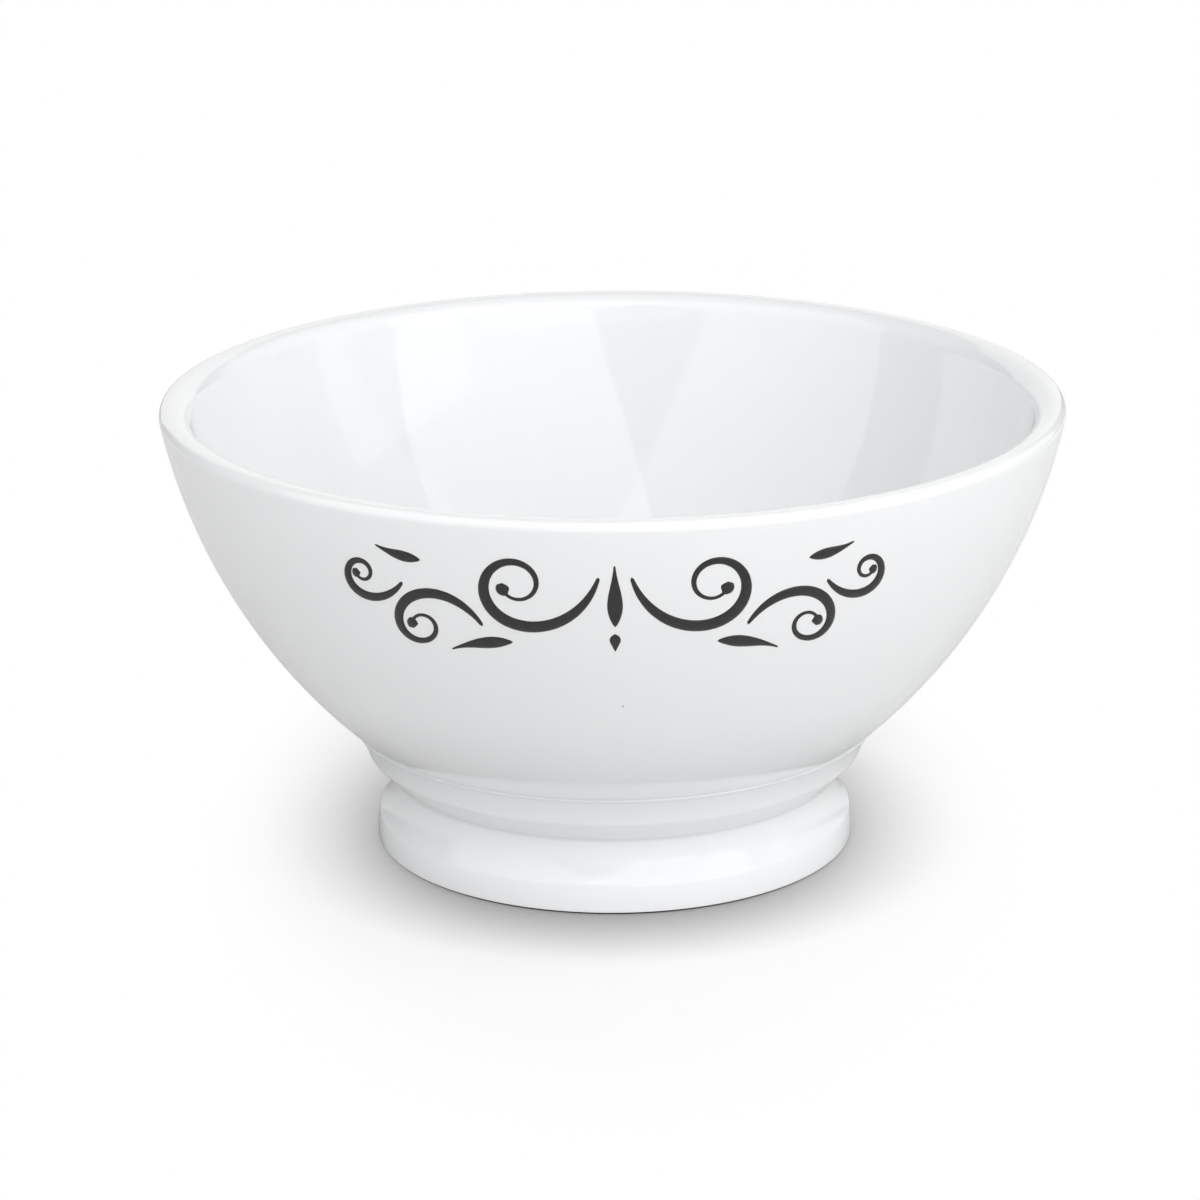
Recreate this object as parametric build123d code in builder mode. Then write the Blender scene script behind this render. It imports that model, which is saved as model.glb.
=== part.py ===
"""Footed latte bowl of glazed porcelain, with a painted running scroll on the front.

Millimetres, +Z up. The origin is the centre of the rim that the bowl stands on, the front faces -Y.
"""
import os
from math import acos, asin, atan2, ceil, cos, degrees, exp, log, pi, radians, sin, sqrt

from build123d import *

os.makedirs("parts", exist_ok=True)

# Bowl, over the glaze: the wall is one long arc, and a tighter knuckle turns it into the floor.
# The lip has a tight round outside, as tall as the height, and a soft one inside that takes the rest
rim_radius = 70.0
height = 71.5
wall = 4.5
lip_round = 1.3
glaze = 0.3
wall_curve = 90.0
knuckle_curve = 24.0
knuckle_radius = 38.5
floor_curve = 170.0

# Foot before glazing, from the crease under the bowl down to the rim that it stands on. The collar ends
# in a rounded bead over the neck
crease_radius = 41.3
crease_height = 19.6
collar_hollow = 0.2
bead_radius = 38.9
bead_height = 14.9
bead_round = 1.8
neck_radius = 35.5
neck_height = 11.6
neck_round = 2.4
neck_wall = 2.4
base_hollow = 1.0
arris_radius = 37.2
arris_height = 4.4
arris_round = 0.7
skirt_bulge = 0.15
standing_radius = 37.5
standing_width = 3.8
standing_round = 0.5

# Clay that lutes the foot to the bowl, rim that is wiped bare
slip = 0.4
bare_rim = 0.6

# Painted strokes, laid out flat: s runs round the wall to the right, h up from the ornament's middle.
# A stroke leaves its start along its heading, turns on radii from the first to the last, to the left
# where they are positive, and may end in a ball. Its edges have a point every point_spacing or less.
ornament_drop = 13.3
enamel = 0.15
swell_at = 0.35
point_spacing = 2.0
centre_strokes = {
    "bud": dict(start=(0, -3.2), heading=90, length=10, radii=(900, 500), width=2.2, tip=0.3, ball=0),
    "drop": dict(start=(0, -4.4), heading=-90, length=3, radii=(900, 500), width=1.6, tip=0.3, ball=0),
}
side_strokes = {
    "first_curl": dict(
        start=(2.3, 4.9), heading=-74, length=43, radii=(14.7, 2.17), width=1.9, tip=0.5, ball=1.0
    ),
    "second_curl": dict(
        start=(19.0, -3.9), heading=58, length=32.5, radii=(-12.2, -1.56), width=1.7, tip=0.5, ball=0.9
    ),
    "third_curl": dict(
        start=(31.2, 2.0), heading=-58, length=22.5, radii=(9.1, 1.06), width=1.5, tip=0.5, ball=0.75
    ),
    "lower_leaf": dict(
        start=(14.6, -6.3), heading=-4, length=9.5, radii=(-50, -11), width=2.0, tip=0.3, ball=0
    ),
    "upper_leaf": dict(
        start=(28.2, 6.0), heading=4, length=7.5, radii=(50, 10), width=1.7, tip=0.3, ball=0
    ),
}

# Centres of the tangent arcs, which every layer of the bowl shares at its own depth
lip_outer = Vector(rim_radius - lip_round, height - lip_round)
crease = Vector(crease_radius, crease_height)
chord = lip_outer - crease
chord_way = chord.normalized()
lip_orbit = wall_curve - lip_round
along = (wall_curve**2 - lip_orbit**2 + chord.length**2) / (2 * chord.length)
across = sqrt(wall_curve**2 - along**2)
wall_centre = crease + chord_way * along + Vector(-chord_way.Y, chord_way.X) * across
outer_way = lip_outer - wall_centre
outer_angle = degrees(atan2(outer_way.Y, outer_way.X))
inner_round = wall - lip_round
inner_angle = outer_angle - 2 * degrees(asin((inner_round - lip_round) / (2 * lip_orbit)))
inner_way = Vector(cos(radians(inner_angle)), sin(radians(inner_angle)))
lip_inner = wall_centre + inner_way * lip_orbit
crest_angle = (outer_angle + inner_angle) / 2 + 90
crest_way = Vector(cos(radians(crest_angle)), sin(radians(crest_angle)))

knuckle_angle = -degrees(acos((knuckle_radius - wall_centre.X) / wall_curve))
knuckle_way = Vector(cos(radians(knuckle_angle)), sin(radians(knuckle_angle)))
knuckle_centre = wall_centre + knuckle_way * (wall_curve - knuckle_curve)
floor_rise = sqrt((floor_curve - knuckle_curve) ** 2 - knuckle_centre.X**2)
floor_centre = Vector(0, knuckle_centre.Y + floor_rise)
floor_angle = -degrees(atan2(floor_rise, knuckle_centre.X))

bore_radius = standing_radius - standing_width
neck_bore = neck_radius - neck_wall

ornament_height = height - ornament_drop
ornament_radius = wall_centre.X + sqrt(wall_curve**2 - (ornament_height - wall_centre.Y) ** 2)


def shell_line(depth, wall_end):
    """Floor, knuckle and wall of the bowl at a depth under its finished outer face, up to an angle."""
    floor = CenterArc(floor_centre, floor_curve - depth, -90, floor_angle + 90)
    CenterArc(knuckle_centre, knuckle_curve - depth, floor_angle, knuckle_angle - floor_angle)
    side = CenterArc(wall_centre, wall_curve - depth, knuckle_angle, wall_end - knuckle_angle)
    return floor @ 0, side @ 1


def on_wall(s, h, side):
    """Front view of a point of the ornament, wrapped round the wall."""
    return (side * ornament_radius * sin(s / ornament_radius), ornament_height + h)


def brush_outline(start, heading, length, radii, width, tip, side):
    """Both edges of a painted stroke, which swells from its tips. Returns where it ends."""
    points = max(8, ceil(length / point_spacing))
    steps = 30
    stride = length / (points * steps)
    growth = log(radii[0] / radii[1])
    swell_power = log(0.5) / log(swell_at)
    s, h = start
    upper = []
    lower = []
    for step in range(points * steps + 1):
        share = step / (points * steps)
        turn = radians(heading) + length / radii[0] * (exp(growth * share) - 1) / growth
        if step % steps == 0:
            half = (tip + (width - tip) * sin(pi * share**swell_power) ** 1.6) / 2
            upper.append(on_wall(s - half * sin(turn), h + half * cos(turn), side))
            lower.append(on_wall(s + half * sin(turn), h - half * cos(turn), side))
            end = (s, h)
        s += stride * cos(turn)
        h += stride * sin(turn)
    Spline(*upper)
    Spline(*lower)
    Line(upper[0], lower[0])
    Line(upper[-1], lower[-1])
    return end


# Sections of the bare pieces
with BuildSketch(Plane.XZ) as bowl_section:
    with BuildLine():
        outer_start, outer_end = shell_line(glaze, outer_angle)
        inner_start, inner_end = shell_line(wall - glaze, inner_angle)
        CenterArc(lip_outer, lip_round - glaze, outer_angle, crest_angle - outer_angle)
        CenterArc(lip_inner, inner_round - glaze, crest_angle, inner_angle + 180 - crest_angle)
        Line(outer_start, inner_start)
    make_face()

with BuildSketch(Plane.XZ) as bowl_blank:
    with BuildLine():
        start, end = shell_line(glaze, outer_angle)
        Polyline(end, (0, end.Y), start)
    make_face()

with BuildSketch(Plane.XZ) as seat_blank:
    with BuildLine():
        start, end = shell_line(glaze - slip, outer_angle)
        Polyline(end, (0, end.Y), start)
    make_face()

with BuildSketch(Plane.XZ) as foot_blank:
    with BuildLine():
        SagittaArc((crease_radius, crease_height), (bead_radius, bead_height), -collar_hollow)
        Line((bead_radius, bead_height), (neck_radius, neck_height))
        SagittaArc((neck_radius, neck_height), (arris_radius, arris_height), -base_hollow)
        SagittaArc((arris_radius, arris_height), (standing_radius, 0), skirt_bulge)
        Polyline(
            (standing_radius, 0),
            (bore_radius, 0),
            (neck_bore, neck_height),
            (neck_bore, crease_height),
            (crease_radius, crease_height),
        )
    make_face()
    fillet(foot_blank.vertices().group_by(Axis.Y)[0], radius=standing_round)
    fillet(foot_blank.vertices().sort_by_distance((arris_radius, arris_height))[0], radius=arris_round)
    fillet(foot_blank.vertices().sort_by_distance((bead_radius, bead_height))[0], radius=bead_round)

with BuildSketch(Plane.XZ) as sharp_foot:
    add(foot_blank.sketch_local)
    add(seat_blank.sketch_local, mode=Mode.SUBTRACT)

with BuildSketch(Plane.XZ) as foot_section:
    add(sharp_foot.sketch_local)
    fillet(foot_section.vertices().sort_by_distance((neck_radius, neck_height))[0], radius=neck_round)

with BuildSketch(Plane.XZ) as slip_section:
    add(foot_blank.sketch_local)
    add(seat_blank.sketch_local, mode=Mode.INTERSECT)
    add(bowl_blank.sketch_local, mode=Mode.SUBTRACT)

# Glaze grows on all the bare pieces at once and is as round in the neck as the clay. Zones part it into coats
with BuildSketch(Plane.XZ) as sharp_biscuit:
    add(bowl_section.sketch_local)
    add(slip_section.sketch_local)
    add(sharp_foot.sketch_local)

with BuildSketch(Plane.XZ) as coat:
    add(sharp_biscuit.sketch_local)
    offset(amount=glaze)
    fillet(coat.vertices().sort_by_distance((neck_radius, neck_height))[0], radius=neck_round)
    add(sharp_biscuit.sketch_local, mode=Mode.SUBTRACT)
    add(foot_section.sketch_local, mode=Mode.SUBTRACT)

with BuildSketch(Plane.XZ) as inside_zone:
    with BuildLine():
        start, end = shell_line(lip_round, outer_angle)
        over_crest = end + crest_way * wall
        Polyline(end, over_crest, (0, over_crest.Y), start)
    make_face()

with BuildSketch(Plane.XZ) as under_zone:
    with BuildLine():
        Polyline(
            (0, bare_rim),
            (standing_radius - standing_width / 2, bare_rim),
            (neck_radius - neck_wall / 2, neck_height),
            (neck_radius - neck_wall / 2, crease_height),
            (0, crease_height),
            close=True,
        )
    make_face()
    add(inside_zone.sketch_local, mode=Mode.SUBTRACT)

with BuildSketch(Plane.XZ) as outside_zone:
    with Locations((0, bare_rim)):
        Rectangle(rim_radius + wall, height + wall, align=Align.MIN)
    add(inside_zone.sketch_local, mode=Mode.SUBTRACT)
    add(under_zone.sketch_local, mode=Mode.SUBTRACT)

# Film that a brush leaves on the glaze of the wall
with BuildSketch(Plane.XZ) as film:
    with BuildLine():
        inner = CenterArc(wall_centre, wall_curve, knuckle_angle, outer_angle - knuckle_angle)
        outer = CenterArc(wall_centre, wall_curve + enamel, knuckle_angle, outer_angle - knuckle_angle)
        Line(inner @ 0, outer @ 0)
        Line(inner @ 1, outer @ 1)
    make_face()

# Bowl
with BuildPart() as bowl_body:
    add(bowl_section.sketch)
    revolve(axis=Axis.Z)
bowl_body.part.label = "bowl_body"
export_step(bowl_body.part, "parts/bowl_body.step")

# Foot
with BuildPart() as foot_ring:
    add(foot_section.sketch)
    revolve(axis=Axis.Z)
foot_ring.part.label = "foot_ring"
export_step(foot_ring.part, "parts/foot_ring.step")

# Slip between foot and bowl
with BuildPart() as slip_joint:
    add(slip_section.sketch)
    revolve(axis=Axis.Z)
slip_joint.part.label = "slip_joint"
export_step(slip_joint.part, "parts/slip_joint.step")

# Coat inside the bowl, up to the crest of the lip
with BuildPart() as glaze_inside:
    with BuildSketch(Plane.XZ):
        add(coat.sketch_local)
        add(inside_zone.sketch_local, mode=Mode.INTERSECT)
    revolve(axis=Axis.Z)
glaze_inside.part.label = "glaze_inside"
export_step(glaze_inside.part, "parts/glaze_inside.step")

# Coat outside, from the crest of the lip to just above the standing rim
with BuildPart() as glaze_outside:
    with BuildSketch(Plane.XZ):
        add(coat.sketch_local)
        add(outside_zone.sketch_local, mode=Mode.INTERSECT)
    revolve(axis=Axis.Z)
glaze_outside.part.label = "glaze_outside"
export_step(glaze_outside.part, "parts/glaze_outside.step")

# Coat in the hollow of the foot
with BuildPart() as glaze_underside:
    with BuildSketch(Plane.XZ):
        add(coat.sketch_local)
        add(under_zone.sketch_local, mode=Mode.INTERSECT)
    revolve(axis=Axis.Z)
glaze_underside.part.label = "glaze_underside"
export_step(glaze_underside.part, "parts/glaze_underside.step")

# Painted strokes: the middle ones once, the others on both sides
strokes = {name: (1, stroke) for name, stroke in centre_strokes.items()}
for side, hand in ((1, "right"), (-1, "left")):
    for name, stroke in side_strokes.items():
        strokes[f"{name}_{hand}"] = (side, stroke)

for name, (side, stroke) in strokes.items():
    brush = dict(stroke)
    ball = brush.pop("ball")
    with BuildPart() as painted:
        with BuildSketch(Plane.XZ):
            with BuildLine():
                s, h = brush_outline(side=side, **brush)
            make_face()
            if ball:
                with Locations(on_wall(s, h, side)):
                    Ellipse(ball * cos(s / ornament_radius), ball)
        extrude(amount=rim_radius)
        add(film.sketch)
        revolve(axis=Axis.Z, mode=Mode.INTERSECT)
    painted.part.label = name
    export_step(painted.part, f"parts/{name}.step")
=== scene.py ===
from math import acos, asin, atan2, ceil, copysign, cos, degrees, exp, log, pi, radians, sin, sqrt

import bpy
from mathutils import Matrix, Vector, noise


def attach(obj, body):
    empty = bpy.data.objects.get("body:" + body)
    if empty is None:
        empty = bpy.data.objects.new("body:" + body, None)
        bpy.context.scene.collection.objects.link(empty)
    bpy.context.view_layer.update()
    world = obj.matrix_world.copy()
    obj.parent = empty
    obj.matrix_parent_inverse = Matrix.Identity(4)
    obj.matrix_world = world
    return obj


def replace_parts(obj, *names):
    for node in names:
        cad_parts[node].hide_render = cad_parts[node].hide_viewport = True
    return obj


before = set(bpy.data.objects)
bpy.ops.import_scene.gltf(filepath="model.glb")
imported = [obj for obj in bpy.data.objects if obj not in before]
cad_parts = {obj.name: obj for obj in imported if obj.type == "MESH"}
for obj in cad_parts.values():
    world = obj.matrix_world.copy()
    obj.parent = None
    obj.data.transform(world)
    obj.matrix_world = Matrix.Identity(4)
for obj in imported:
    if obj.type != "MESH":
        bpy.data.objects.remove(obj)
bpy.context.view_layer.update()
scene = bpy.context.scene
mm = 0.001  # sizes below are in millimetres
print("frame loaded:", len(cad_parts), "nodes")

# Camera: a long lens, a little above the rim, that looks at the painted front
viewpoint = {
    "lens": 120.0,
    "sensor": 36.0,
    "distance": 630.3,
    "elevation": 17.79,
    "aim": (-2.11, 0.0, 37.91),
    "roll": -0.39,
}
cameraData = bpy.data.cameras.new("tableCamera")
cameraData.lens = viewpoint["lens"]
cameraData.sensor_width = viewpoint["sensor"]
tableCamera = bpy.data.objects.new("tableCamera", cameraData)
scene.collection.objects.link(tableCamera)
tilt = radians(viewpoint["elevation"])
cameraPlace = Vector(viewpoint["aim"]) + Vector((0, -cos(tilt), sin(tilt))) * viewpoint["distance"]
tableCamera.matrix_world = (
    Matrix.Translation(cameraPlace * mm)
    @ Matrix.Rotation(pi / 2 - tilt, 4, "X")
    @ Matrix.Rotation(radians(viewpoint["roll"]), 4, "Z")
)
scene.camera = tableCamera
print("camera placed")


# sRGB hex to linear colour
def srgb(text):
    parts = [int(text[i:i + 2], 16) / 255 for i in (1, 3, 5)]
    return tuple(c / 12.92 if c <= 0.04045 else ((c + 0.055) / 1.055) ** 2.4 for c in parts) + (1.0,)


# One node with its settings and links: settings go to sockets where the name is a socket's
def addNode(tree, kind, settings=None, links=None):
    node = tree.nodes.new(kind)
    for name, value in (settings or {}).items():
        if isinstance(name, int) or name in node.inputs:
            node.inputs[name].default_value = value
        else:
            setattr(node, name, value)
    for name, source in (links or {}).items():
        tree.links.new(source, node.inputs[name])
    return node


def newMaterial(name):
    material = bpy.data.materials.new(name)
    material.use_nodes = True
    material.node_tree.nodes.clear()
    return material, material.node_tree


# Texture scale that gives features of a real size
def perSize(size):
    return 1 / (size * mm)


# Soft noise with features of a real size
def addNoise(tree, place, size, detail):
    settings = {"Scale": perSize(size), "Detail": detail}
    return addNode(tree, "ShaderNodeTexNoise", settings, {"Vector": place}).outputs["Fac"]


# Glazed porcelain: white body under a clear fired glaze, sprayed and then melted smooth. It gives a clean
# white with hard bright reflections that waver a little, a cooler, darker tone in the crease and the neck,
# where glaze collects and where it is also painted shade, and a rare speck
porcelain = {
    "body": "#F0F1F2",
    "pooledAndShaded": "#E4E7E8",       # glaze collected in the crease and neck, darker still as painted shade
    "speck": "#7A7169",       # kiln dust
    "roughness": 0.03,
    "roughnessSpread": 0.03,
    "ior": 1.52,
    "cloud": 24.0,            # mm, drifts of tone in the body
    "cloudDepth": 0.012,
    "ripple": 9.0,            # mm, sag of the melted glaze
    "rippleHeight": 0.010,
    "peel": 1.1,              # mm, orange peel of the sprayed coat
    "peelHeight": 0.0008,
    "speckSpacing": 11.0,     # mm
    "speckSize": 0.22,        # mm, radius
    "speckCore": 0.4,         # share of the radius that is fully dark
    "speckShare": 0.1,        # of the places that have one
    "poolAndShadeBands": ((18.9, 20.4), (10.6, 12.0)),  # mm over the table: crease and neck
    "poolAndShadeFrom": 34.0,        # mm from the axis: leaves out the foot's hollow, not all of the inside
}
glazeMaterial, tree = newMaterial("glazedPorcelain")
place = addNode(tree, "ShaderNodeTexCoord").outputs["Object"]
cloud = addNoise(tree, place, porcelain["cloud"], 3.0)
tone = addNode(
    tree, "ShaderNodeMapRange",
    {"From Min": 0.3, "From Max": 0.7, "To Min": 1 - porcelain["cloudDepth"], "To Max": 1.0},
    {"Value": cloud},
)
height = addNode(tree, "ShaderNodeSeparateXYZ", links={"Vector": place}).outputs["Z"]
# Bands round the crease and the neck: glaze that collects there, and painted shade in these recesses
poolAndShade = None
for low, high in porcelain["poolAndShadeBands"]:
    middle = addNode(
        tree, "ShaderNodeMath", {"operation": "SUBTRACT", 1: (low + high) / 2 * mm}, {0: height}
    )
    away = addNode(tree, "ShaderNodeMath", {"operation": "ABSOLUTE"}, {0: middle.outputs[0]})
    depth = addNode(
        tree, "ShaderNodeMapRange",
        {"interpolation_type": "SMOOTHSTEP", "From Min": (high - low) / 2 * mm, "From Max": 0.0},
        {"Value": away.outputs[0]},
    )
    if poolAndShade:
        depth = addNode(
            tree, "ShaderNodeMath", {"operation": "MAXIMUM"},
            {0: poolAndShade.outputs[0], 1: depth.outputs[0]},
        )
    poolAndShade = depth
flat = addNode(tree, "ShaderNodeVectorMath", {"operation": "MULTIPLY", 1: (1.0, 1.0, 0.0)}, {0: place})
fromAxis = addNode(tree, "ShaderNodeVectorMath", {"operation": "LENGTH"}, {0: flat.outputs["Vector"]})
pastHollow = addNode(
    tree, "ShaderNodeMath", {"operation": "GREATER_THAN", 1: porcelain["poolAndShadeFrom"] * mm},
    {0: fromAxis.outputs["Value"]},
)
# Tint of collected glaze and painted shade, kept off the foot's hollow
poolAndShadeTint = addNode(
    tree, "ShaderNodeMath", {"operation": "MULTIPLY"}, {0: poolAndShade.outputs[0], 1: pastHollow.outputs[0]}
)
bodyColour = addNode(
    tree, "ShaderNodeMix",
    {"data_type": "RGBA", 6: srgb(porcelain["body"]), 7: srgb(porcelain["pooledAndShaded"])},
    {0: poolAndShadeTint.outputs[0]},
)
cloudy = addNode(
    tree, "ShaderNodeMix", {"data_type": "RGBA", "blend_type": "MULTIPLY", 0: 1.0},
    {6: bodyColour.outputs[2], 7: tone.outputs[0]},
)
cells = addNode(
    tree, "ShaderNodeTexVoronoi", {"Scale": perSize(porcelain["speckSpacing"])}, {"Vector": place}
)
speckDot = addNode(
    tree, "ShaderNodeMapRange",
    {
        "From Min": porcelain["speckSize"] / porcelain["speckSpacing"],
        "From Max": porcelain["speckCore"] * porcelain["speckSize"] / porcelain["speckSpacing"],
    },
    {"Value": cells.outputs["Distance"]},
)
cellChance = addNode(tree, "ShaderNodeSeparateColor", links={"Color": cells.outputs["Color"]})
chosen = addNode(
    tree, "ShaderNodeMath", {"operation": "LESS_THAN", 1: porcelain["speckShare"]},
    {0: cellChance.outputs[0]},
)
specked = addNode(
    tree, "ShaderNodeMath", {"operation": "MULTIPLY"},
    {0: speckDot.outputs[0], 1: chosen.outputs[0]},
)
glazeColour = addNode(
    tree, "ShaderNodeMix", {"data_type": "RGBA", 7: srgb(porcelain["speck"])},
    {0: specked.outputs[0], 6: cloudy.outputs[2]},
)
ripple = addNoise(tree, place, porcelain["ripple"], 1.0)
peel = addNoise(tree, place, porcelain["peel"], 2.0)
gloss = addNode(
    tree, "ShaderNodeMapRange",
    {
        "From Min": 0.3, "From Max": 0.7, "To Min": porcelain["roughness"],
        "To Max": porcelain["roughness"] + porcelain["roughnessSpread"],
    },
    {"Value": peel},
)
sag = addNode(
    tree, "ShaderNodeBump", {"Distance": porcelain["rippleHeight"] * mm},
    {"Height": ripple},
)
skin = addNode(
    tree, "ShaderNodeBump", {"Distance": porcelain["peelHeight"] * mm},
    {"Height": peel, "Normal": sag.outputs["Normal"]},
)
glazeShader = addNode(
    tree, "ShaderNodeBsdfPrincipled", {"IOR": porcelain["ior"]},
    {"Base Color": glazeColour.outputs[2], "Roughness": gloss.outputs[0], "Normal": skin.outputs["Normal"]},
)
addNode(tree, "ShaderNodeOutputMaterial", links={"Surface": glazeShader.outputs["BSDF"]})

# Unglazed biscuit: porcelain fired bare and wiped clean. It gives a dry, warm white with a fine sandy grain
# and grey rub marks where the foot has stood
biscuit = {
    "body": "#EDEAE4",
    "rubbed": "#D6D1C9",
    "roughness": 0.82,
    "grain": 0.5,             # mm, real grit is 0.1: drawn coarser so that it shows
    "grainHeight": 0.02,
    "rub": 5.0,               # mm
    "ior": 1.5,
}
biscuitMaterial, tree = newMaterial("unglazedBiscuit")
place = addNode(tree, "ShaderNodeTexCoord").outputs["Object"]
grain = addNoise(tree, place, biscuit["grain"], 3.0)
rub = addNoise(tree, place, biscuit["rub"], 4.0)
rubbed = addNode(tree, "ShaderNodeMapRange", {"From Min": 0.5, "From Max": 0.75}, {"Value": rub})
biscuitColour = addNode(
    tree, "ShaderNodeMix",
    {"data_type": "RGBA", 6: srgb(biscuit["body"]), 7: srgb(biscuit["rubbed"])},
    {0: rubbed.outputs[0]},
)
grit = addNode(tree, "ShaderNodeBump", {"Distance": biscuit["grainHeight"] * mm}, {"Height": grain})
biscuitShader = addNode(
    tree, "ShaderNodeBsdfPrincipled", {"Roughness": biscuit["roughness"], "IOR": biscuit["ior"]},
    {"Base Color": biscuitColour.outputs[2], "Normal": grit.outputs["Normal"]},
)
addNode(tree, "ShaderNodeOutputMaterial", links={"Surface": biscuitShader.outputs["BSDF"]})

# Fired black enamel: pigment and flux painted on the glaze and fired again. It gives a deep black with a
# soft gloss, a little uneven along the brush and brownish where it is thin
enamel = {
    "black": "#131214",
    "thin": "#2A2422",
    "roughness": 0.16,
    "roughnessSpread": 0.12,
    "ior": 1.5,
    "streak": 0.6,            # mm, brush hairs are 0.1: drawn coarser so that they show
    "streakHeight": 0.004,
}
enamelMaterial, tree = newMaterial("firedBlackEnamel")
place = addNode(tree, "ShaderNodeTexCoord").outputs["Object"]
streak = addNoise(tree, place, enamel["streak"], 3.0)
thinner = addNode(tree, "ShaderNodeMapRange", {"From Min": 0.5, "From Max": 0.8}, {"Value": streak})
enamelColour = addNode(
    tree, "ShaderNodeMix",
    {"data_type": "RGBA", 6: srgb(enamel["black"]), 7: srgb(enamel["thin"])},
    {0: thinner.outputs[0]},
)
dull = addNode(
    tree, "ShaderNodeMapRange",
    {
        "From Min": 0.35, "From Max": 0.7, "To Min": enamel["roughness"],
        "To Max": enamel["roughness"] + enamel["roughnessSpread"],
    },
    {"Value": streak},
)
brushed = addNode(tree, "ShaderNodeBump", {"Distance": enamel["streakHeight"] * mm}, {"Height": streak})
enamelShader = addNode(
    tree, "ShaderNodeBsdfPrincipled", {"IOR": enamel["ior"]},
    {
        "Base Color": enamelColour.outputs[2], "Roughness": dull.outputs[0],
        "Normal": brushed.outputs["Normal"],
    },
)
addNode(tree, "ShaderNodeOutputMaterial", links={"Surface": enamelShader.outputs["BSDF"]})
print("materials mixed")

# Bowl and foot, the same sizes as the solids. Bowl sizes are over the glaze, foot sizes under it
bowl = {
    "rimRadius": 70.0,
    "height": 71.5,
    "wall": 4.5,
    "lipRound": 1.3,
    "glaze": 0.3,
    "wallCurve": 90.0,
    "knuckleCurve": 24.0,
    "knuckleRadius": 38.5,
    "floorCurve": 170.0,
}
foot = {
    "crease": Vector((41.3, 19.6)),
    "collarHollow": 0.2,
    "bead": Vector((38.9, 14.9)),
    "beadRound": 1.8,
    "neck": Vector((35.5, 11.6)),
    "neckRound": 2.4,
    "neckWall": 2.4,
    "baseHollow": 1.0,
    "arris": Vector((37.2, 4.4)),
    "arrisRound": 0.7,
    "skirtBulge": 0.15,
    "standing": Vector((37.5, 0.0)),
    "standingWidth": 3.8,
    "bareRim": 0.6,
    "run": 0.3,               # how far the melted glaze ran down past the wiped line
    "hollowPool": 1.2,        # glaze that pools where the hollow meets the bowl
}
turned = {
    "steps": 240,             # round the axis
    "spacing": 0.9,           # mm along the profile
    "lipSpacing": 0.1,
    "footSpacing": 0.25,
    "backEvery": 4,           # the hidden back of a coat takes every fourth point
    "waver": ((55.0, 0.05), (17.0, 0.018)),  # mm: size and height of unevenness left by hand finishing
    "rollTurns": (30, 60, 90, 120, 150),     # degrees round a free edge
    "rollReach": 0.5,         # share of half the thickness by which a free edge rolls out
    "onAxis": 1e-6,           # mm, under which a point counts as on the axis
}


def angleOf(way):
    return degrees(atan2(way.y, way.x))


def wayAt(angle):
    return Vector((cos(radians(angle)), sin(radians(angle))))


def arcLine(centre, radius, start, end, spacing):
    steps = max(2, ceil(radians(abs(end - start)) * radius / spacing))
    return [centre + wayAt(start + (end - start) * i / steps) * radius for i in range(steps + 1)]


# Circle through two points that bulges to the left of the way between them
def bulgeCircle(start, end, bulge):
    chord = end - start
    radius = (chord.length**2 / 4 + bulge**2) / (2 * abs(bulge))
    left = Vector((-chord.y, chord.x)).normalized()
    return (start + end) / 2 + left * (bulge - copysign(radius, bulge)), radius


# Where two circles cross, on the side nearer a point
def crossing(centreA, radiusA, centreB, radiusB, near):
    way = centreB - centreA
    along = (radiusA**2 - radiusB**2 + way.length**2) / (2 * way.length)
    aside = Vector((-way.y, way.x)).normalized() * sqrt(radiusA**2 - along**2)
    base = centreA + way.normalized() * along
    return min((base + aside, base - aside), key=lambda point: (point - near).length)


# Centres of the bowl's tangent arcs: lip, wall, knuckle and floor
lipOrbit = bowl["wallCurve"] - bowl["lipRound"]
innerRound = bowl["wall"] - bowl["lipRound"]
lipOuter = Vector((bowl["rimRadius"] - bowl["lipRound"], bowl["height"] - bowl["lipRound"]))
wallCentre = crossing(lipOuter, lipOrbit, foot["crease"], bowl["wallCurve"], Vector((0, bowl["height"])))
outerAngle = angleOf(lipOuter - wallCentre)
innerAngle = outerAngle - 2 * degrees(asin((innerRound - bowl["lipRound"]) / (2 * lipOrbit)))
lipInner = wallCentre + wayAt(innerAngle) * lipOrbit
crestAngle = (outerAngle + innerAngle) / 2 + 90
knuckleAngle = -degrees(acos((bowl["knuckleRadius"] - wallCentre.x) / bowl["wallCurve"]))
knuckleCentre = wallCentre + wayAt(knuckleAngle) * (bowl["wallCurve"] - bowl["knuckleCurve"])
floorRise = sqrt((bowl["floorCurve"] - bowl["knuckleCurve"]) ** 2 - knuckleCentre.x**2)
floorCentre = Vector((0, knuckleCentre.y + floorRise))
floorAngle = -degrees(atan2(floorRise, knuckleCentre.x))


# Unevenness of the finished surface at a place, in mm
def waver(x, y, z):
    return sum(tall * noise.noise(Vector((x, y, z)) / size) for size, tall in turned["waver"])


# Outward ways of a line that has the air on its left
def leftWays(line):
    ways = []
    for i in range(len(line)):
        along = line[min(i + 1, len(line) - 1)] - line[max(i - 1, 0)]
        ways.append(Vector((-along.y, along.x)).normalized())
    return ways


# A smooth mesh object on the bowl, with creases kept where faces meet at a steep angle
def meshPiece(name, points, faces, material, crease=50):
    mesh = bpy.data.meshes.new(name)
    mesh.from_pydata(points, [], faces)
    mesh.validate()
    mesh.materials.append(material)
    mesh.shade_smooth()
    mesh.set_sharp_from_angle(angle=radians(crease))
    piece = bpy.data.objects.new(name, mesh)
    scene.collection.objects.link(piece)
    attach(piece, "root")
    return piece


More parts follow.
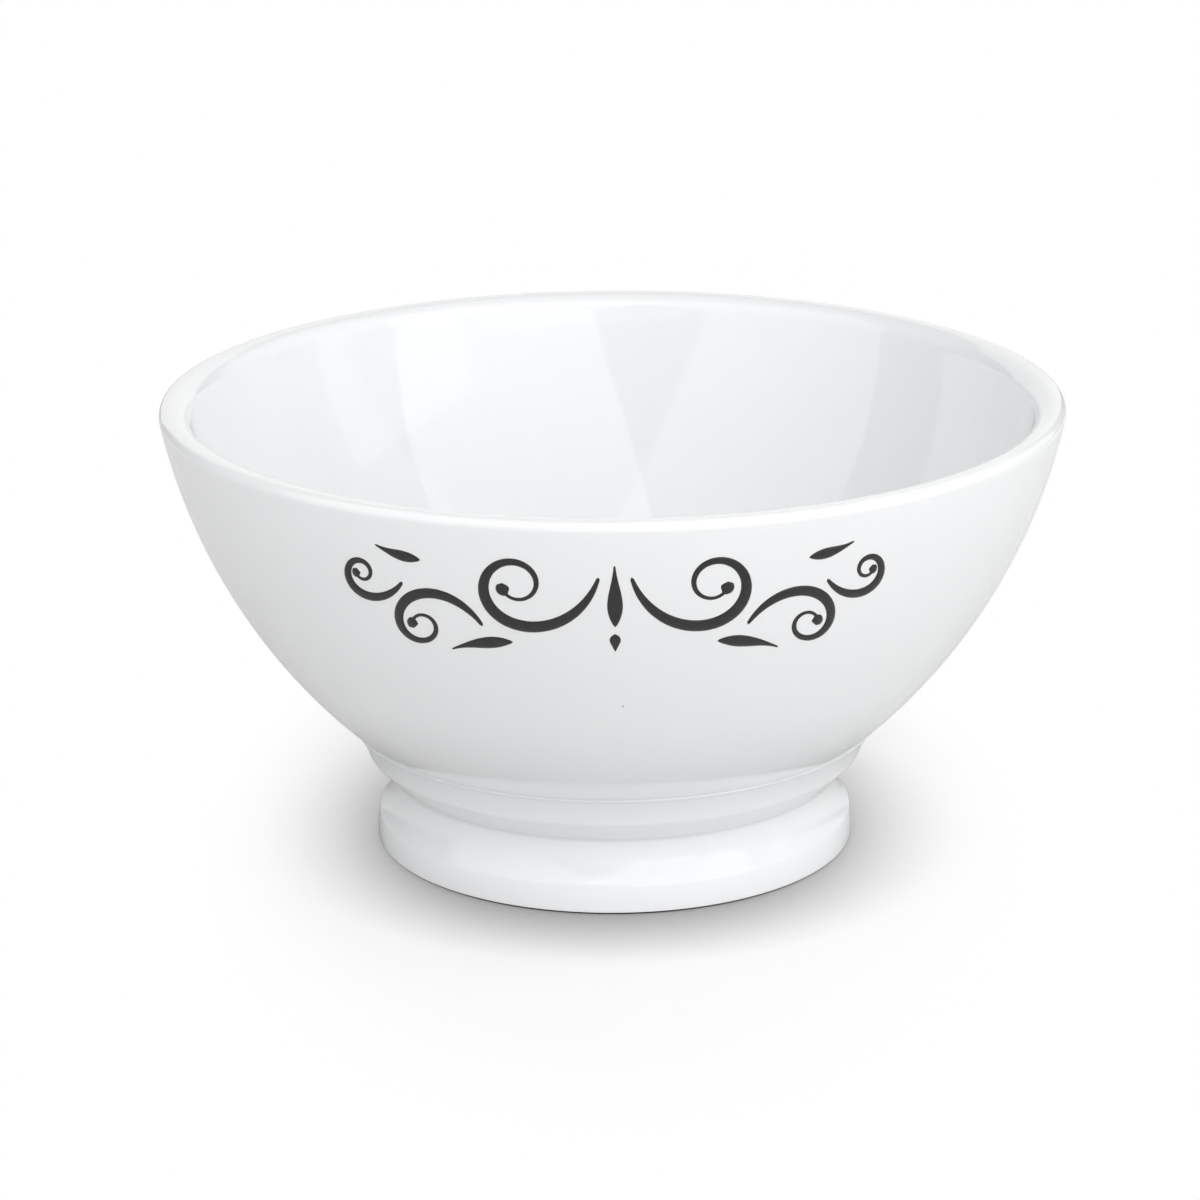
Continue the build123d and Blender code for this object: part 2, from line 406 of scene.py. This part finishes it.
# A coat of glaze: its air line turned round the axis, with a back under it and rolled edges, as one closed
# mesh
def turnCoat(name, line, thickness):
    ways = leftWays(line)
    outline = [(point, way, 1.0) for point, way in zip(line, ways)]
    backs = list(range(len(line) - 1, -1, -turned["backEvery"]))
    if backs[-1]:
        backs.append(0)
    ends = {len(line) - 1: 1, 0: -1}
    for i in backs:
        roll = []
        if i in ends and line[i].x > turned["onAxis"]:  # a free edge is half round
            along = Vector((ways[i].y, -ways[i].x)) * ends[i]
            for turn in turned["rollTurns"]:
                middle = line[i] - ways[i] * thickness / 2
                reach = ways[i] * cos(radians(turn)) + along * sin(radians(turn)) * turned["rollReach"]
                roll.append((middle + reach * thickness / 2, ways[i], 0.5))
        back = [(line[i] - ways[i] * thickness, ways[i], 0.0)]
        outline += roll + back if i else back + roll[::-1]
    steps = turned["steps"]
    rings = []
    points = []
    for point, way, share in outline:
        onAxis = point.x < turned["onAxis"]
        ring = []
        for k in range(1 if onAxis else steps):
            a = 2 * pi * k / steps
            x, y, z = point.x * cos(a), point.x * sin(a), point.y
            lift = share * waver(x, y, z)
            across = 0.0 if onAxis else way.x * lift
            ring.append(len(points))
            outX, outY = x + across * cos(a), y + across * sin(a)
            points.append((outX * mm, outY * mm, (z + way.y * lift) * mm))
        rings.append(ring * steps if onAxis else ring)
    faces = []
    for i in range(len(rings)):
        here, there = rings[i], rings[(i + 1) % len(rings)]
        for k in range(steps):
            corners = (here[k], there[k], there[(k + 1) % steps], here[(k + 1) % steps])
            face = tuple(dict.fromkeys(corners))
            if len(face) > 2:
                faces.append(face)
    return meshPiece(name, points, faces, glazeMaterial)


# Inside coat: floor, knuckle, wall and the soft inner round of the lip up to its crest
glaze = bowl["glaze"]
depth = bowl["wall"]
insideLine = arcLine(floorCentre, bowl["floorCurve"] - depth, -90, floorAngle, turned["spacing"])
insideLine += arcLine(
    knuckleCentre, bowl["knuckleCurve"] - depth, floorAngle, knuckleAngle, turned["spacing"]
)[1:]
insideLine += arcLine(
    wallCentre, bowl["wallCurve"] - depth, knuckleAngle, innerAngle, turned["spacing"]
)[1:]
insideLine += arcLine(lipInner, innerRound, innerAngle + 180, crestAngle, turned["lipSpacing"])[1:]
glazeInside = turnCoat("glazeInside", insideLine, glaze)
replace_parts(glazeInside, "glaze_inside")

# Outside coat: tight outer round of the lip, wall, crease, collar with its bead, neck, base, arris and
# skirt down to the bare rim. Circles of a huge radius stand for straight lines
straight = 5000.0
collarCentre, collarRadius = bulgeCircle(foot["crease"], foot["bead"], -foot["collarHollow"])
underWay = (foot["neck"] - foot["bead"]).normalized()
underCentre = foot["bead"] - Vector((-underWay.y, underWay.x)) * straight
baseCentre, baseRadius = bulgeCircle(foot["neck"], foot["arris"], -foot["baseHollow"])
skirtCentre, skirtRadius = bulgeCircle(foot["arris"], foot["standing"], foot["skirtBulge"])
creaseMeet = crossing(wallCentre, bowl["wallCurve"], foot["crease"], glaze, foot["crease"] + Vector((1, 1)))
beadCentre = crossing(
    collarCentre, collarRadius + foot["beadRound"],
    underCentre, straight - foot["beadRound"], foot["bead"],
)
neckCentre = crossing(
    underCentre, straight + glaze + foot["neckRound"],
    baseCentre, baseRadius - glaze - foot["neckRound"], foot["neck"],
)
arrisCentre = crossing(
    baseCentre, baseRadius + foot["arrisRound"],
    skirtCentre, skirtRadius - foot["arrisRound"], foot["arris"],
)
glazeEnd = foot["bareRim"] - foot["run"]
skirtEnd = degrees(asin((glazeEnd - skirtCentre.y) / (skirtRadius + glaze)))
outsideArcs = (
    (lipOuter, bowl["lipRound"], crestAngle, outerAngle, "lipSpacing"),
    (wallCentre, bowl["wallCurve"], outerAngle, angleOf(creaseMeet - wallCentre), "spacing"),
    (
        foot["crease"], glaze,
        angleOf(creaseMeet - foot["crease"]), angleOf(collarCentre - foot["crease"]), "lipSpacing",
    ),
    (
        collarCentre, collarRadius - glaze,
        angleOf(foot["crease"] - collarCentre) % 360, angleOf(beadCentre - collarCentre) % 360,
        "footSpacing",
    ),
    (
        beadCentre, foot["beadRound"] + glaze,
        angleOf(collarCentre - beadCentre), angleOf(beadCentre - underCentre), "lipSpacing",
    ),
    (
        underCentre, straight + glaze,
        angleOf(beadCentre - underCentre), angleOf(neckCentre - underCentre), "footSpacing",
    ),
    (
        neckCentre, foot["neckRound"],
        angleOf(underCentre - neckCentre) % 360, angleOf(neckCentre - baseCentre) % 360, "footSpacing",
    ),
    (
        baseCentre, baseRadius - glaze,
        angleOf(neckCentre - baseCentre) % 360, angleOf(arrisCentre - baseCentre) % 360, "footSpacing",
    ),
    (
        arrisCentre, foot["arrisRound"] + glaze,
        angleOf(baseCentre - arrisCentre), angleOf(arrisCentre - skirtCentre), "lipSpacing",
    ),
    (skirtCentre, skirtRadius + glaze, angleOf(arrisCentre - skirtCentre), skirtEnd, "footSpacing"),
)
outsideLine = []
for centre, radius, start, end, spacing in outsideArcs:
    outsideLine += arcLine(centre, radius, start, end, turned[spacing])[1 if outsideLine else 0:]
glazeOutside = turnCoat("glazeOutside", outsideLine, glaze)
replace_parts(glazeOutside, "glaze_outside")

# Underside coat: up the hollow of the foot from the bare rim, round a pooled corner, and across under the
# bowl
boreLow = Vector((foot["standing"].x - foot["standingWidth"], 0.0))
boreWay = (Vector((foot["neck"].x - foot["neckWall"], foot["neck"].y)) - boreLow).normalized()
boreAir = Vector((-boreWay.y, boreWay.x))
boreFace = boreLow + boreAir * glaze
poolCentre = crossing(
    knuckleCentre, bowl["knuckleCurve"] + foot["hollowPool"],
    boreFace + boreAir * (foot["hollowPool"] - straight), straight, Vector((boreLow.x, foot["neck"].y)),
)
boreStart = boreFace + boreWay * ((glazeEnd - boreFace.y) / boreWay.y)
boreEnd = boreFace + boreWay * (poolCentre - boreFace).dot(boreWay)
boreSteps = ceil((boreEnd - boreStart).length / turned["spacing"])
undersideLine = [boreStart.lerp(boreEnd, i / boreSteps) for i in range(boreSteps)]
undersideLine += arcLine(
    poolCentre, foot["hollowPool"], angleOf(-boreAir), angleOf(knuckleCentre - poolCentre),
    turned["footSpacing"],
)
undersideLine += arcLine(
    knuckleCentre, bowl["knuckleCurve"], angleOf(poolCentre - knuckleCentre), floorAngle, turned["spacing"]
)[1:]
undersideLine += arcLine(floorCentre, bowl["floorCurve"], floorAngle, -90, turned["spacing"])[1:]
undersideLine[-1].x = 0.0
glazeUnderside = turnCoat("glazeUnderside", undersideLine, glaze)
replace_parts(glazeUnderside, "glaze_underside")

# Clay under the coats, bare only on the standing rim
for name in ("bowl_body", "foot_ring", "slip_joint"):
    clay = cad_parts[name]
    clay.data.materials.clear()
    clay.data.materials.append(biscuitMaterial)
print("coats turned")

# Painted scroll, laid out flat: s runs round the wall to the right, h up from its middle. A stroke leaves
# its start along its heading, turns on radii from the first to the last (left where positive), may end in a
# ball, and stands on the glaze as a low bead of enamel
scroll = {
    "drop": 13.3,             # mm under the rim
    "thickness": 0.15,
    "edge": 0.01,             # mm, thickness at the edges
    "thinShare": 0.35,        # share of the thickness that the finest line keeps
    "sink": 0.04,             # melted into the glaze
    "swellAt": 0.35,
    "swellCurve": 1.6,        # how slender the tips are
    "spacing": 0.3,           # mm along a stroke
    "fine": 20,               # steps walked for each ring of points
    "across": 8,
    "capLength": 0.35,        # mm over which a tip rounds off
    "capShare": 0.1,          # of the width that is left at its very end
}
centreStrokes = {
    "bud": {
        "start": (0, -3.2), "heading": 90, "length": 10, "radii": (900, 500),
        "width": 2.2, "tip": 0.3, "ball": 0,
    },
    "drop": {
        "start": (0, -4.4), "heading": -90, "length": 3, "radii": (900, 500),
        "width": 1.6, "tip": 0.3, "ball": 0,
    },
}
sideStrokes = {
    "first_curl": {
        "start": (2.3, 4.9), "heading": -74, "length": 43, "radii": (14.7, 2.17),
        "width": 1.9, "tip": 0.5, "ball": 1.0,
    },
    "second_curl": {
        "start": (19.0, -3.9), "heading": 58, "length": 32.5, "radii": (-12.2, -1.56),
        "width": 1.7, "tip": 0.5, "ball": 0.9,
    },
    "third_curl": {
        "start": (31.2, 2.0), "heading": -58, "length": 22.5, "radii": (9.1, 1.06),
        "width": 1.5, "tip": 0.5, "ball": 0.75,
    },
    "lower_leaf": {
        "start": (14.6, -6.3), "heading": -4, "length": 9.5, "radii": (-50, -11),
        "width": 2.0, "tip": 0.3, "ball": 0,
    },
    "upper_leaf": {
        "start": (28.2, 6.0), "heading": 4, "length": 7.5, "radii": (50, 10),
        "width": 1.7, "tip": 0.3, "ball": 0,
    },
}
scrollHeight = bowl["height"] - scroll["drop"]


def wallRadius(z):
    return wallCentre.x + sqrt(bowl["wallCurve"] ** 2 - (z - wallCentre.y) ** 2)


scrollRadius = wallRadius(scrollHeight)


# A point of the scroll wrapped round the wall, raised over the glaze
def onWall(s, h, raised, side):
    x = side * scrollRadius * sin(s / scrollRadius)
    z = scrollHeight + h
    radius = wallRadius(z)
    y = -sqrt(radius**2 - x**2)
    slope = atan2(z - wallCentre.y, radius - wallCentre.x)
    lift = raised + waver(x, y, z)
    out = radius + lift * cos(slope)
    return (x / radius * out * mm, y / radius * out * mm, (z + lift * sin(slope)) * mm)


def paintStroke(name, stroke, side):
    growth = log(stroke["radii"][0] / stroke["radii"][1])
    swellPower = log(0.5) / log(scroll["swellAt"])
    reach = stroke["length"] + stroke["ball"]
    steps = ceil(reach / scroll["spacing"])
    fine = scroll["fine"]
    stride = reach / (steps * fine)
    s, h = stroke["start"]
    points = []
    faces = []
    ringSize = scroll["across"] + 3
    for step in range(steps * fine + 1):
        walked = step * stride
        share = min(walked / stroke["length"], 1.0)
        past = max(walked - stroke["length"], 0.0) / stroke["radii"][1]  # on into the ball
        bend = stroke["length"] / stroke["radii"][0] * (exp(growth * share) - 1) / growth
        turn = radians(stroke["heading"]) + bend + past
        if step % fine == 0:
            swell = sin(pi * share**swellPower) ** scroll["swellCurve"]
            half = (stroke["tip"] + (stroke["width"] - stroke["tip"]) * swell) / 2
            fromEnd = min(walked, reach - walked)
            if fromEnd < scroll["capLength"]:
                cap = sqrt(1 - (1 - fromEnd / scroll["capLength"]) ** 2)
                half *= scroll["capShare"] + (1 - scroll["capShare"]) * cap
            fromBall = abs(walked - stroke["length"])
            if fromBall < stroke["ball"]:
                half = max(half, sqrt(stroke["ball"] ** 2 - fromBall**2))
            rise = scroll["thickness"] * min(1.0, scroll["thinShare"] + half)
            ring = []
            for i in range(scroll["across"] + 1):
                u = 1 - 2 * i / scroll["across"]
                ring.append((u, scroll["edge"] + rise * sqrt(1 - u * u)))
            ring += [(-1.0, -scroll["sink"]), (1.0, -scroll["sink"])]
            if side < 0:
                ring.reverse()
            for u, raised in ring:
                points.append(onWall(s - u * half * sin(turn), h + u * half * cos(turn), raised, side))
        s += stride * cos(turn)
        h += stride * sin(turn)
    for i in range(steps):
        for k in range(ringSize):
            a, b = i * ringSize + k, i * ringSize + (k + 1) % ringSize
            faces.append((a, b, b + ringSize, a + ringSize))
    faces.append(tuple(range(ringSize))[::-1])
    faces.append(tuple(range(steps * ringSize, (steps + 1) * ringSize)))
    piece = meshPiece(name, points, faces, enamelMaterial, crease=70)
    return piece


for name, stroke in centreStrokes.items():
    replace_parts(paintStroke(name + "Stroke", stroke, 1), name)
for side, hand in ((1, "right"), (-1, "left")):
    for name, stroke in sideStrokes.items():
        node = f"{name}_{hand}"
        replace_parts(paintStroke(node + "Stroke", stroke, side), node)
print("scroll painted")

# Floor: matt white board with the bowl's own soft shadow, deepest close to the foot where little light gets
# in, and deepened there by painted shade from an occlusion node. Away from the bowl it is plain white to
# the camera, and it throws less light back up, as a small sheet does
board = {
    "colour": "#F4F4F4",
    "bounce": "#D4D4D4",
    "near": 38.0,             # mm from the axis to where the change to plain white starts, in front
    "far": 120.0,             # and ends
    "sideways": 1.8,          # times sooner to the left and right
    "close": 23.0,            # mm, reach of the deepest shadow
    "size": 6.0,              # m
}
boardMaterial, tree = newMaterial("mattWhiteBoard")
place = addNode(tree, "ShaderNodeTexCoord").outputs["Object"]
spread = addNode(
    tree, "ShaderNodeVectorMath", {"operation": "MULTIPLY", 1: (board["sideways"], 1.0, 1.0)}, {0: place}
)
away = addNode(tree, "ShaderNodeVectorMath", {"operation": "LENGTH"}, {0: spread.outputs["Vector"]})
fade = addNode(
    tree, "ShaderNodeMapRange",
    {"interpolation_type": "SMOOTHSTEP", "From Min": board["near"] * mm, "From Max": board["far"] * mm},
    {"Value": away.outputs["Value"]},
)
ray = addNode(tree, "ShaderNodeLightPath")
# Painted shade: the occlusion node darkens the board's colour near the foot, to the camera and in the glaze
paintedFootShade = addNode(
    tree, "ShaderNodeAmbientOcclusion",
    {"samples": 16, "Distance": board["close"] * mm, "Color": srgb(board["colour"])},
)
paperColour = addNode(
    tree, "ShaderNodeMix", {"data_type": "RGBA", 7: srgb(board["bounce"])},
    {0: ray.outputs["Is Diffuse Ray"], 6: paintedFootShade.outputs["Color"]},
)
paper = addNode(tree, "ShaderNodeBsdfDiffuse", links={"Color": paperColour.outputs[2]})
plainWhite = addNode(tree, "ShaderNodeEmission", {"Strength": 1.0})
whitened = addNode(
    tree, "ShaderNodeMath", {"operation": "MULTIPLY"},
    {0: ray.outputs["Is Camera Ray"], 1: fade.outputs[0]},
)
sheet = addNode(
    tree, "ShaderNodeMixShader",
    links={0: whitened.outputs[0], 1: paper.outputs["BSDF"], 2: plainWhite.outputs["Emission"]},
)
addNode(tree, "ShaderNodeOutputMaterial", links={"Surface": sheet.outputs["Shader"]})
half = board["size"] / 2
boardMesh = bpy.data.meshes.new("whiteBoard")
corners = [(-half, -half, 0), (half, -half, 0), (half, half, 0), (-half, half, 0)]
boardMesh.from_pydata(corners, [], [(0, 1, 2, 3)])
boardMesh.materials.append(boardMaterial)
whiteBoard = bpy.data.objects.new("whiteBoard", boardMesh)
scene.collection.objects.link(whiteBoard)

# Soft light: a dim room and large panels, at azimuths from the front (-Y) towards the right, in metres. The
# room is white to the camera alone: in the glaze it stays dim, so that the gap between the panels shows
room = {"colour": "#FFFFFF", "strength": 0.3}
world = bpy.data.worlds.new("dimRoom")
scene.world = world
world.use_nodes = True
world.node_tree.nodes.clear()
eye = addNode(world.node_tree, "ShaderNodeLightPath")
level = addNode(
    world.node_tree, "ShaderNodeMapRange", {"To Min": room["strength"], "To Max": 1.0},
    {"Value": eye.outputs["Is Camera Ray"]},
)
walls = addNode(
    world.node_tree, "ShaderNodeBackground", {"Color": srgb(room["colour"])},
    {"Strength": level.outputs[0]},
)
addNode(world.node_tree, "ShaderNodeOutputWorld", links={"Surface": walls.outputs["Background"]})
panels = {
    "rightFront": {
        "azimuth": 36, "height": 0.50, "distance": 0.80,
        "width": 0.95, "tall": 1.15, "radiance": 1.35,
    },
    "leftFront": {
        "azimuth": -57, "height": 0.50, "distance": 0.80,
        "width": 0.90, "tall": 1.15, "radiance": 1.01,
    },
    "rightSide": {
        "azimuth": 112, "height": 0.45, "distance": 0.80,
        "width": 0.90, "tall": 0.80, "radiance": 0.55,
    },
    "rightLow": {
        "azimuth": 70, "height": 0.22, "distance": 0.80,
        "width": 0.70, "tall": 0.42, "radiance": 0.68,
    },
    "frontLow": {
        "azimuth": 8, "height": 0.14, "distance": 0.80,
        "width": 0.90, "tall": 0.26, "radiance": 0.64,
    },
    "behind": {
        "azimuth": 186, "height": 0.30, "distance": 0.80,
        "width": 0.80, "tall": 0.50, "radiance": 0.8,
    },
}
lampAim = Vector((0.0, 0.0, 0.04))
for name, panel in panels.items():
    lamp = bpy.data.lights.new(name, "AREA")
    lamp.shape = "RECTANGLE"
    lamp.size = panel["width"]
    lamp.size_y = panel["tall"]
    lamp.energy = pi * panel["width"] * panel["tall"] * panel["radiance"]
    lampObject = bpy.data.objects.new(name, lamp)
    scene.collection.objects.link(lampObject)
    turn = radians(panel["azimuth"])
    reach = sqrt(panel["distance"]**2 - panel["height"]**2)
    lampPlace = Vector((reach * sin(turn), -reach * cos(turn), panel["height"]))
    lampObject.location = lampPlace
    lampObject.rotation_euler = (lampAim - lampPlace).to_track_quat("-Z", "Y").to_euler()
print("floor and lights set")

scene.view_settings.view_transform = "Standard"
